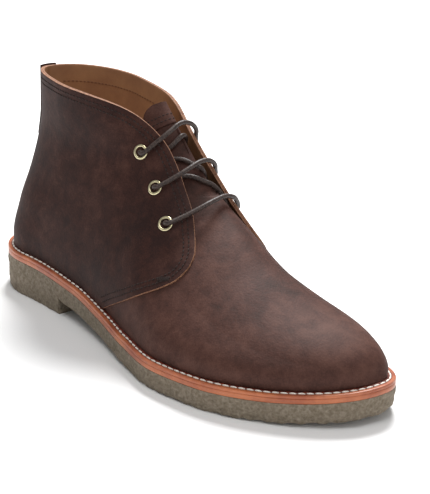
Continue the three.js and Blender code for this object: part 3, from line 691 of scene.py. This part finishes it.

# %% [markdown]
# Leather never lies dead smooth. A few soft troughs and ridges are placed in the boot's own
# sizes: where the ankle bends, over the break of the vamp, and round the heel's stiffener.

# %% Soft troughs and ridges
# place x, height, direction of the fold in degrees in the side view, length, width, rise, side (0 both)
FOLDS = [
    (86, 104, 12, 60, 16, -0.8, 0), (98, 82, 28, 46, 12, 0.5, 0), (122, 62, 52, 44, 11, -0.5, 0),
    (60, 60, -4, 52, 12, 0.45, 0), (40, 78, 4, 40, 12, -0.45, 0), (160, 52, -58, 34, 9, 0.5, -1),
    (205, 48, 66, 46, 10, -0.45, -1), (222, 40, 72, 40, 9, 0.35, -1), (208, 50, 66, 46, 10, -0.4, 1)]


def fold_rise(points):
    x, y, z = np.moveaxis(points, -1, 0)
    rise = np.zeros_like(x)
    for fx, fz, turn, length, width, height, side in FOLDS:
        c, s = math.cos(math.radians(turn)), math.sin(math.radians(turn))
        along, across = (x - fx) * c + (z - fz) * s, -(x - fx) * s + (z - fz) * c
        one = height * np.exp(-(along / length * 1.6) ** 2 - (across / width) ** 2)
        rise += one if side == 0 else one * smoothstep(0.5 + side * (y - ridge_y(x)) / 30)
    return rise


# %% Quarters and their linings
for side, name in ((-1, "outer"), (1, "inner")):
    grid, normals = quarter_grid(side)
    # The quarters take the nubuck's darker copy, with painted shade.
    quarter = panel(f"quarter_{name}", grid, normals, fold_rise(grid) - 0.15, fold_rise(grid) + QUARTER_STEP,
                    SHADED_UPPER_LEATHER, CUT_EDGE)
    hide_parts("upper")
    lining = panel(f"lining_{name}", grid, normals, -1.15, -0.25, LINING, CUT_EDGE, under=LINING)
    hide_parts("upper")

# %% [markdown]
# ## Vamp
# The vamp covers the toes and instep in one piece and runs on between the facings as a tab. Rings
# round the last follow it from the feather line up to the ridge, so that the toe has no crease. Near
# the throat it sinks below the last's surface, to leave the facings proud.

# %% Vamp
VAMP_BACK, THROAT_X = 100.0, 168.0


THROAT_SINK, SINK_START, SINK_REACH = 5.2, 194, 42
LEG_TOP, HEEL_FEATHER = 172, 27.6


def throat_sink(x):
    """How far the tab and the tongue lie below the last's surface, between and under the facings."""
    return THROAT_SINK * smoothstep((SINK_START - x) / SINK_REACH)


def tab_depth(x, y, z):
    inside = (1 - smoothstep((np.abs(y - ridge_y(x)) - 27) / 8)) * smoothstep((z - 45) / 15)
    return throat_sink(x) * inside


def ridge_path(x_to, count):
    x = np.linspace(LAST_TOE, x_to, 3000)
    z = top_line(x)
    lengths = np.concatenate([[0], np.cumsum(np.hypot(np.diff(x), np.diff(z)))])
    wanted = np.linspace(0, 1, count) ** 1.25 * lengths[-1]
    return np.interp(wanted, lengths, x), np.interp(wanted, lengths, z), wanted


def vamp_grid(levels=96, half=130):
    whole_x, whole_z, whole = ridge_path(107.0, 3000)
    total = whole[whole_z <= LEG_TOP][-1]
    front_x, front_z, lengths = ridge_path(THROAT_X, levels)
    t = np.sin(np.linspace(0, 1, half) * np.pi / 2)
    rows = []
    for fx, fz, length in zip(front_x, front_z, lengths):
        level = length / total
        heel_rise = (LEG_TOP - HEEL_FEATHER) * level
        back_x = float(back_line(HEEL_FEATHER + heel_rise))
        front_rise = fz - float(feather_height(fx))
        x = VAMP_BACK + (fx - VAMP_BACK) * t
        share = (x - back_x) / (fx - back_x)
        z = np.minimum(feather_height(x) + heel_rise + (front_rise - heel_rise) * share**1.3, top_line(x))
        outer, inner = skin(x, z, -1), skin(x, z, 1)
        outer[-1, 1] = inner[-1, 1] = ridge_y(fx) if length > 0 else TIP_SHIFT
        outer[-1, 2] = fz
        rows.append(np.vstack([outer, inner[-2::-1]]))
    return np.array(rows)


vamp_base = vamp_grid()
vamp_normals = grid_normals(vamp_base)
if vamp_normals[50, 130, 2] < 0:
    vamp_normals = -vamp_normals
vamp_normals[0] = unit(vamp_normals[0] * (1, 1, 0))
vamp_sink = -tab_depth(*np.moveaxis(vamp_base, -1, 0)) + fold_rise(vamp_base)
# The vamp and the tongue take the nubuck's lighter copy, with painted light.
vamp = panel("vamp", vamp_base, vamp_normals, vamp_sink - 1.3, vamp_sink, LIT_VAMP_LEATHER, LIT_VAMP_LEATHER)
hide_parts("upper")
vamp_lining = panel("vamp_lining", vamp_base, vamp_normals, vamp_sink - 2.0, vamp_sink - 1.35, LINING, LINING,
                    bevel=0)
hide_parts("upper")

# %% [markdown]
# ## Tongue
# The tongue goes on from the vamp's tab under the lace. Its top has a strip of its own with a raised
# edge. Its grid runs along the instep and, row by row, across the ridge by true
# distance over the skin.


# %% Tongue
def across(x, arcs, steps=400):
    """Places at distances from the ridge, in the section square to the ridge line at x."""
    points = []
    lean = float(top_line(x - 1) - top_line(x + 1)) / 2
    for side in (-1, 1):
        z = top_line(x) - (top_line(x) - feather_height(x)) * np.linspace(0, 1, steps) ** 2
        along = x - lean * (top_line(x) - z)
        y = last_y(along, z, side)
        y[0] = ridge_y(x)
        path = np.stack([along, y, z], -1)
        chosen = abs(arcs[(arcs < 0) if side < 0 else (arcs >= 0)])
        points.append(at_lengths(path, run_lengths(path), chosen))
    return np.vstack(points)


# place on the ridge line, half width, and how far the inner half sinks away from the facing
TONGUE = np.array([(192, 16, 0), (182, 19, 0), (172, 22, 0.4), (163, 24, 1.0), (152, 25, 2.0), (143, 25, 3.2),
                   (135, 24.5, 4.4), (131, 23.5, 5.2), (127.8, 21, 5.8), (125.9, 17, 6.2), (125, 12, 6.4)])


def tongue_sheet(x_from, x_to, rows, columns=60, wider=0.0):
    """The tongue's skin and its normals, with the inner half already sunk."""
    places = np.arange(len(TONGUE))
    x_of, width_of, sink_of = (smooth(places, TONGUE[:, k]) for k in range(3))
    fine = np.linspace(0, places[-1], 2000)
    start, end = (float(np.interp(-x, -x_of(fine), fine)) for x in (x_from, x_to))
    grid, sinks = [], []
    for place in np.linspace(start, end, rows):
        arcs = np.linspace(-1, 1, columns) * (float(width_of(place)) + wider)
        grid.append(across(float(x_of(place)), arcs))
        sinks.append(float(sink_of(place)) * smoothstep((arcs + 8) / 22))
    grid, sinks = np.array(grid), np.array(sinks)
    normals = grid_normals(grid)
    if normals[len(grid) // 2, columns // 2, 2] < 0:
        normals = -normals
    return grid, normals, throat_sink(grid[..., 0]) + 0.05 + sinks


tongue_base, tongue_normals, depth = tongue_sheet(192, 125, 110)
tongue = panel("tongue_strap", tongue_base, tongue_normals, -depth - 2.0, -depth, LIT_VAMP_LEATHER, LIT_VAMP_LEATHER)
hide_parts("tongue")

top_base, top_normals, top_depth = tongue_sheet(134, 125, 26, wider=0.4)
top_strip = panel("tongue_top", top_base, top_normals, -top_depth - 0.2, 0.9 - top_depth,
                  LIT_VAMP_LEATHER, LIT_VAMP_LEATHER)
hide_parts("tongue")
TOP_SEAMS = [(top_base[row, 3:-3] + top_normals[row, 3:-3] * (0.92 - top_depth[row, 3:-3])[:, None],
              top_normals[row, 3:-3]) for row in (3, 7)]

# %% [markdown]
# ## Sole layers
# Welt, thin leather midsole and rubber all follow the feather line, a fixed distance further out. A
# ring at the same stations on both sides is moved outward in plan, one ring for each line of the
# layer's edge, and the flat faces are closed with strips from side to side.


# %% Rings round the feather line
STATIONS = 300


def feather_ring(extra=()):
    x = LAST_HEEL + (LAST_TOE - LAST_HEEL) * (1 - np.cos(np.pi * np.arange(STATIONS) / (STATIONS - 1))) / 2
    x = np.sort(np.concatenate([x, extra]))
    outer, inner = (skin(x, feather_height(x), side) for side in (-1, 1))
    outer[0, 1] = inner[0, 1] = 0
    outer[-1, 1] = inner[-1, 1] = TIP_SHIFT
    return np.vstack([outer, inner[-2:0:-1]])


def outward(ring):
    step = np.roll(ring, -1, axis=0) - np.roll(ring, 1, axis=0)
    return unit(np.stack([step[:, 1], -step[:, 0], np.zeros(len(ring))], -1))


def edge_rows(ring, rows):
    """One ring for each (distance outward, height over the feather line or array of heights)."""
    away = outward(ring)
    result = []
    for distance, height in rows:
        row = ring + away * np.broadcast_to(distance, len(ring))[:, None]
        row[:, 2] = height if np.ndim(height) else ring[:, 2] + height
        result.append(row)
    return result


def plate(name, rows, strips, *materials, cap_low=None):
    """Joins rings into a wall and closes the lowest and highest from side to side."""
    around, half = len(rows[0]), len(rows[0]) // 2
    vertices, faces = list(np.vstack(rows)), []
    for r in range(len(rows) - 1):
        for i in range(around):
            j = (i + 1) % around
            faces.append((r * around + i, r * around + j, (r + 1) * around + j, (r + 1) * around + i))
    for ring, row, turned, height_of in ((0, rows[0], True, cap_low), (len(rows) - 1, rows[-1], False, None)):
        base = ring * around
        grid = np.zeros((half + 1, strips + 1), int)
        for i in range(half + 1):
            near, far = base + i % around, base + (around - i) % around
            grid[i, 0], grid[i, -1] = near, far
            for k in range(1, strips):
                if near == far:
                    grid[i, k] = near
                    continue
                point = row[i] + (row[(around - i) % around] - row[i]) * k / strips
                if height_of is not None:
                    point[2] = height_of(point, i)
                grid[i, k] = len(vertices)
                vertices.append(point)
        for i in range(half):
            for k in range(strips):
                quad = [grid[i, k], grid[i + 1, k], grid[i + 1, k + 1], grid[i, k + 1]]
                quad = list(dict.fromkeys(int(v) for v in quad))
                if len(quad) > 2:
                    faces.append(tuple(quad[::-1] if turned else quad))
    piece = mesh_piece(name, np.array(vertices), faces)
    even_normals(piece, 40)
    print(name, len(piece.data.polygons), "faces")
    return finish_mesh(piece, *materials)


# %% Outsole
HEEL_LENGTH, BREAST = 78.0, 0.6
WELT_STACK = 5.2
UNDERSIDE = np.array([
    (HEEL_LENGTH, 9.2), (100, 7.2), (125, 4.4), (150, 2.0), (172, 0.4), (184, 0), (236, 0), (258, 0.4),
    (280, 2.0), (SOLE_LENGTH, 4.8)])
underside = smooth(UNDERSIDE[:, 0], UNDERSIDE[:, 1])


def crumbs(points, size, seed):
    """Smooth bumps about as wide as size, from a few waves that never line up."""
    rng = np.random.default_rng(seed)
    total = np.zeros(len(points))
    for _ in range(14):
        direction = unit(rng.normal(size=3))
        width = size * rng.uniform(0.7, 1.6)
        total += np.sin(points @ direction * 2 * np.pi / width + rng.uniform(0, 6.28))
    return total / 14**0.5


sole_ring = feather_ring((HEEL_LENGTH, HEEL_LENGTH + BREAST))
ring_x = sole_ring[:, 0]
floor_z = np.where(ring_x <= HEEL_LENGTH + 1e-6, 0, underside(ring_x))
ragged = smoothstep((ring_x - 175) / 40)
wave = crumbs(sole_ring, 9.0, 4)
lift = np.abs(wave) * 0.9 * ragged
top_z = sole_ring[:, 2] - WELT_STACK
rows = []
for share in np.linspace(0, 1, 15):
    z = floor_z + (top_z - floor_z) * share
    draw = np.interp(share, [0, 0.08, 0.25, 1], [1.5, 0.75, 0.45, 0.0])
    rows.append((WELT_SHOW - draw, z))
outsole_rows = edge_rows(sole_ring, rows)
away = outward(sole_ring)
for share, row in zip(np.linspace(0, 1, 15), outsole_rows):
    rough = crumbs(row, 3.1, 7) * 0.16 + crumbs(row, 7.0, 8) * 0.16
    fade = 1 - smoothstep((share - 0.86) / 0.14)
    row += away * (rough * fade)[:, None]
    row += away * (wave * 0.55 * ragged * (1 - smoothstep(share / 0.45)))[:, None]
    row[:, 2] += lift * (1 - smoothstep(share / 0.3))


def sole_floor(point, i):
    """Height of the underside: the heel stands flat, and the forefoot has its arch and toe spring."""
    return 0.0 if ring_x[i] <= HEEL_LENGTH + 1e-6 else float(underside(point[0]))


outsole = plate("crepe_outsole", outsole_rows, 36, RUBBER, cap_low=sole_floor)
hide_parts("outsole")

# %% Midsole
layer_ring = feather_ring()
midsole = plate("leather_midsole", edge_rows(layer_ring, [
    (4.3, -5.1), (4.7, -5.05), (4.8, -4.9), (4.82, -2.45), (4.74, -2.3), (4.3, -2.25)]), 8, TAN_EDGE)
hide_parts("midsole")

# %% [markdown]
# The welt is a strip that is dark red over its stitch groove and in under the upper, and orange on its
# outer top and edge. White lockstitches run in a groove just outside the upper. The strip is one closed ring
# here, without a join.

# %% Welt
WELT_IN = WELT_SHOW - 9.4
welt_lines = [(4.5, -2.2), (4.72, -2.15), (4.8, -2.0), (4.8, -0.85), (4.6, -0.42), (4.2, -0.3), (2.75, -0.3),
              (2.45, -0.45), (1.75, -0.75), (1.05, -0.45), (0.75, -0.3), (WELT_IN, -0.3), (WELT_IN, -2.2)]
welt_rows = edge_rows(layer_ring, welt_lines)
around = len(layer_ring)
welt_faces = [(r * around + i, r * around + (i + 1) % around,
               (r + 1) % len(welt_rows) * around + (i + 1) % around, (r + 1) % len(welt_rows) * around + i)
              for r in range(len(welt_rows)) for i in range(around)]
welt = mesh_piece("welt_strip", np.vstack(welt_rows), welt_faces)
finish_mesh(welt, TAN_EDGE, WELT_TOP)
for face in welt.data.polygons:
    face.material_index = 1 if 6 <= face.index // around <= 10 else 0
even_normals(welt, 35)
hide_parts("welt")
print("welt", len(welt.data.polygons), "faces")

# %% [markdown]
# ## Stitches
# A stitch is a short length of thread that dips into the leather at both ends. One small rounded bead
# is added as a primitive and pulled to that shape, and a copy of its points is laid at every place.


# %% Stitch rows
def bead():
    bpy.ops.mesh.primitive_uv_sphere_add(segments=8, ring_count=6, radius=0.5)
    piece = bpy.context.object
    points = np.array([v.co[:] for v in piece.data.vertices])
    faces = [tuple(p.vertices) for p in piece.data.polygons]
    bpy.data.objects.remove(piece)
    return points, faces


BEAD_POINTS, BEAD_FACES = bead()


def stitches(name, lines, pitch, length, width, thick, material, node, lean=0.0):
    """Beads along lines of (points, normals), one every pitch."""
    vertices, faces = [], []
    for points, normals in lines:
        lengths = run_lengths(points)
        count = max(int(lengths[-1] / pitch), 1)
        places = (np.arange(count) + 0.5) * lengths[-1] / count
        centre, ahead, behind = (at_lengths(points, lengths, places + step) for step in (0, 0.4, -0.4))
        up = unit(at_lengths(normals, lengths, places))
        along = unit(ahead - behind)
        across_thread = unit(np.cross(up, along))
        along = unit(np.cross(across_thread, up))
        if lean:
            along, across_thread = (along * math.cos(lean) + across_thread * math.sin(lean),
                                    across_thread * math.cos(lean) - along * math.sin(lean))
        for c, a, w, u in zip(centre, along, across_thread, up):
            first = len(vertices) * len(BEAD_POINTS)
            vertices.append(c + BEAD_POINTS[:, :1] * length * a + BEAD_POINTS[:, 1:2] * width * w
                            + BEAD_POINTS[:, 2:] * thick * u)
            faces += [tuple(first + i for i in face) for face in BEAD_FACES]
    piece = mesh_piece(name, np.vstack(vertices), faces)
    piece.data.shade_smooth()
    finish_mesh(piece, material)
    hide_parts(node)
    print(name, len(vertices), "stitches")


welt_line = edge_rows(layer_ring, [(1.75, -0.42)])[0]
welt_line = np.vstack([welt_line, welt_line[:1]])
stitches("welt_stitches", [(welt_line, np.tile((0, 0, 1.0), (len(welt_line), 1)))], 4.6, 4.4, 1.15, 1.1,
         THREAD_WHITE, "welt")


def inside_line(edge, side, distance, lift):
    """A line at a distance inside a quarter's edge, lifted off the last, with its normals."""
    start, normal = settle(skin(edge[:, 0], edge[:, 1], side), side)
    along = unit(np.gradient(start, axis=0))
    inward = unit(np.cross(normal, along)) * side
    if inward[len(inward) // 3, 2] > 0:
        inward = -inward
    line, normal = settle(start + inward * distance, side)
    return line + normal * (lift + fold_rise(line))[:, None], normal


SEAM_ROWS, COLLAR_BAND = (3.6, 6.6), 10.5     # distances inside the quarter's edge
FULL_EDGE = spaced(np.insert(np.vstack([TOP_EDGE, FRONT_EDGE[1:]]), 1, 0, axis=1), 400)[:, [0, 2]]
for side, name in ((-1, "outer"), (1, "inner")):
    edge = FULL_EDGE[6:-4]
    rows = [inside_line(edge, side, distance, QUARTER_STEP + 0.02) for distance in SEAM_ROWS]
    stitches(f"quarter_seam_{name}", rows, 2.6, 2.15, 0.95, 0.8, THREAD_DARK, "upper")
    collar = TOP_EDGE[(TOP_EDGE[:, 0] > 20) & (TOP_EDGE[:, 0] < 132)]
    band = [inside_line(collar, side, COLLAR_BAND, -1.3)]
    stitches(f"collar_band_{name}", band, 2.6, 1.9, 0.6, 0.5, THREAD_TAN, "upper")

stitches("tongue_seam", TOP_SEAMS, 2.4, 1.9, 0.7, 0.5, THREAD_DARK, "tongue")

tack_x = np.linspace(174.5, 181.5, 12)
tack, tack_normals = settle(skin(tack_x, np.linspace(52.6, 54.6, 12), -1), -1)
tack = tack + tack_normals * (QUARTER_STEP + 0.1 + fold_rise(tack))[:, None]
stitches("bar_tack", [(tack, tack_normals)], 0.62, 3.6, 0.5, 0.9, THREAD_DARK, "upper",
         lean=math.pi / 2)

# %% [markdown]
# ## Eyelets
# A brass eyelet is a short tube with its collar rolled outward. A circle is spun round the eyelet's
# axis as a ring, and a barrel goes down through the leather.

# %% Eyelets
EYELETS = np.array([(125.4, 110.8), (142.8, 94.1), (159.7, 78.2)])


def eyelet(name, point, normal):
    profile = [(2.95, -1.6), (2.95, 1.35), (3.02, 1.7), (3.25, 1.92), (3.65, 2.0), (4.1, 1.9), (4.45, 1.62),
               (4.55, 1.35), (4.4, 1.2), (3.4, 1.15), (3.3, 1.0), (3.3, -1.6)]
    bpy.ops.mesh.primitive_circle_add(vertices=len(profile), radius=1, fill_type="NOTHING")
    piece = bpy.context.object
    piece.name = name
    for vertex, (r, z) in zip(piece.data.vertices, profile):
        vertex.co = (r / 1000, 0, z / 1000)
    bpy.ops.object.mode_set(mode="EDIT")
    bpy.ops.mesh.select_all(action="SELECT")
    bpy.ops.mesh.spin(steps=40, angle=2 * math.pi, center=(0, 0, 0), axis=(0, 0, 1))
    bpy.ops.mesh.select_all(action="SELECT")
    bpy.ops.mesh.remove_doubles(threshold=1e-5)
    bpy.ops.mesh.normals_make_consistent(inside=False)
    bpy.ops.object.mode_set(mode="OBJECT")
    bpy.ops.object.shade_smooth_by_angle(angle=math.radians(50))
    turn = Vector(normal).to_track_quat("Z", "Y").to_matrix().to_4x4()
    piece.data.transform(Matrix.Translation(Vector(metres(point))) @ turn)
    piece.select_set(False)
    return finish_mesh(piece, BRASS)


for row, (x, z) in enumerate(EYELETS, 1):
    for side, name in ((-1, "outer"), (1, "inner")):
        points, normals = settle(skin(np.array([x]), np.array([z]), side), side)
        ring = eyelet(f"brass_eyelet_{name}_{row}", points[0], normals[0])
        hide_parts(f"eyelet_{name}_{row}")
print("eyelets", 2 * len(EYELETS))

# %% [markdown]
# ## Back strip and insole
# A narrow strip covers the closing seam at the back of the collar. It is cut from the same hide and
# laid over both quarters. The insole keeps the CAD's own shape.

# %% Back strip
STRIP_TOP, STRIP_FOOT, STRIP_HALF = 139.9, 95, 5.5


def back_strip_grid(rows=40, columns=25):
    grid = []
    for height in np.linspace(STRIP_TOP, STRIP_FOOT, rows):
        arcs = np.linspace(-STRIP_HALF, STRIP_HALF, columns)
        xs = back_line(height) + np.linspace(0, 1, 400) ** 2 * 12
        ys = last_y(xs, np.full(400, height), 1)
        ys[0] = 0
        arc = np.concatenate([[0], np.cumsum(np.hypot(np.diff(xs), np.diff(ys)))])
        x, y = np.interp(abs(arcs), arc, xs), np.sign(arcs) * np.interp(abs(arcs), arc, ys)
        grid.append(np.stack([x, y, np.full(columns, height)], -1))
    return np.array(grid)


strip_base = back_strip_grid()
strip_normals = grid_normals(strip_base)
if strip_normals[20, 12, 0] > 0:
    strip_normals = -strip_normals
strip = panel("back_stay", strip_base, strip_normals, QUARTER_STEP - 0.3, QUARTER_STEP + 0.5,
              SHADED_UPPER_LEATHER, SHADED_UPPER_LEATHER)
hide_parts("back_strip")

seam_z = np.linspace(96, 29, 60)
seam_path = np.stack([back_line(seam_z) - 0.75, np.zeros(60), seam_z], -1)
back_seam = tube("back_seam", seam_path, 0.6, 10, SHADED_UPPER_LEATHER)
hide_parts("upper")

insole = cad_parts["insole"]
insole.data.materials.clear()
insole.data.materials.append(LINING)

# %% [markdown]
# ## Floor and light
# The photograph was taken on white paper under large soft lights. A pale floor and three broad area
# lights give the same open shade, with the brightest one high up and behind the boot.

# %% Floor and light
bpy.ops.mesh.primitive_plane_add(size=14, location=(0, 0, 0))
floor = bpy.context.object
floor.name = "studio_floor"
paper, shader = new_material("white studio paper", Roughness=0.9)
shader.inputs["Base Color"].default_value = colour("#f7f7f7")
floor.data.materials.append(paper)
floor.select_set(False)

world = bpy.context.scene.world or bpy.data.worlds.new("studio")
bpy.context.scene.world = world
world.use_nodes = True
background = world.node_tree.nodes["Background"]
background.inputs["Color"].default_value = (1, 1, 1, 1)
background.inputs["Strength"].default_value = 0.32


def soft_light(name, place, aim, size, power):
    bpy.ops.object.light_add(type="AREA", location=place)
    light = bpy.context.object
    light.name = name
    light.data.shape = "DISK"
    light.data.size = size
    light.data.energy = power
    light.rotation_euler = Vector(np.array(aim) - np.array(place)).to_track_quat("-Z", "Y").to_euler()
    light.select_set(False)


soft_light("key_light", (-0.55, 0.65, 1.35), (0, 0, 0.05), 0.6, 38)
soft_light("top_light", (0.25, -0.4, 1.7), (0.02, 0, 0.05), 1.0, 9)
soft_light("front_light", (1.7, -0.2, 0.9), (0.05, 0, 0.05), 1.0, 4.5)
print("lights 3")
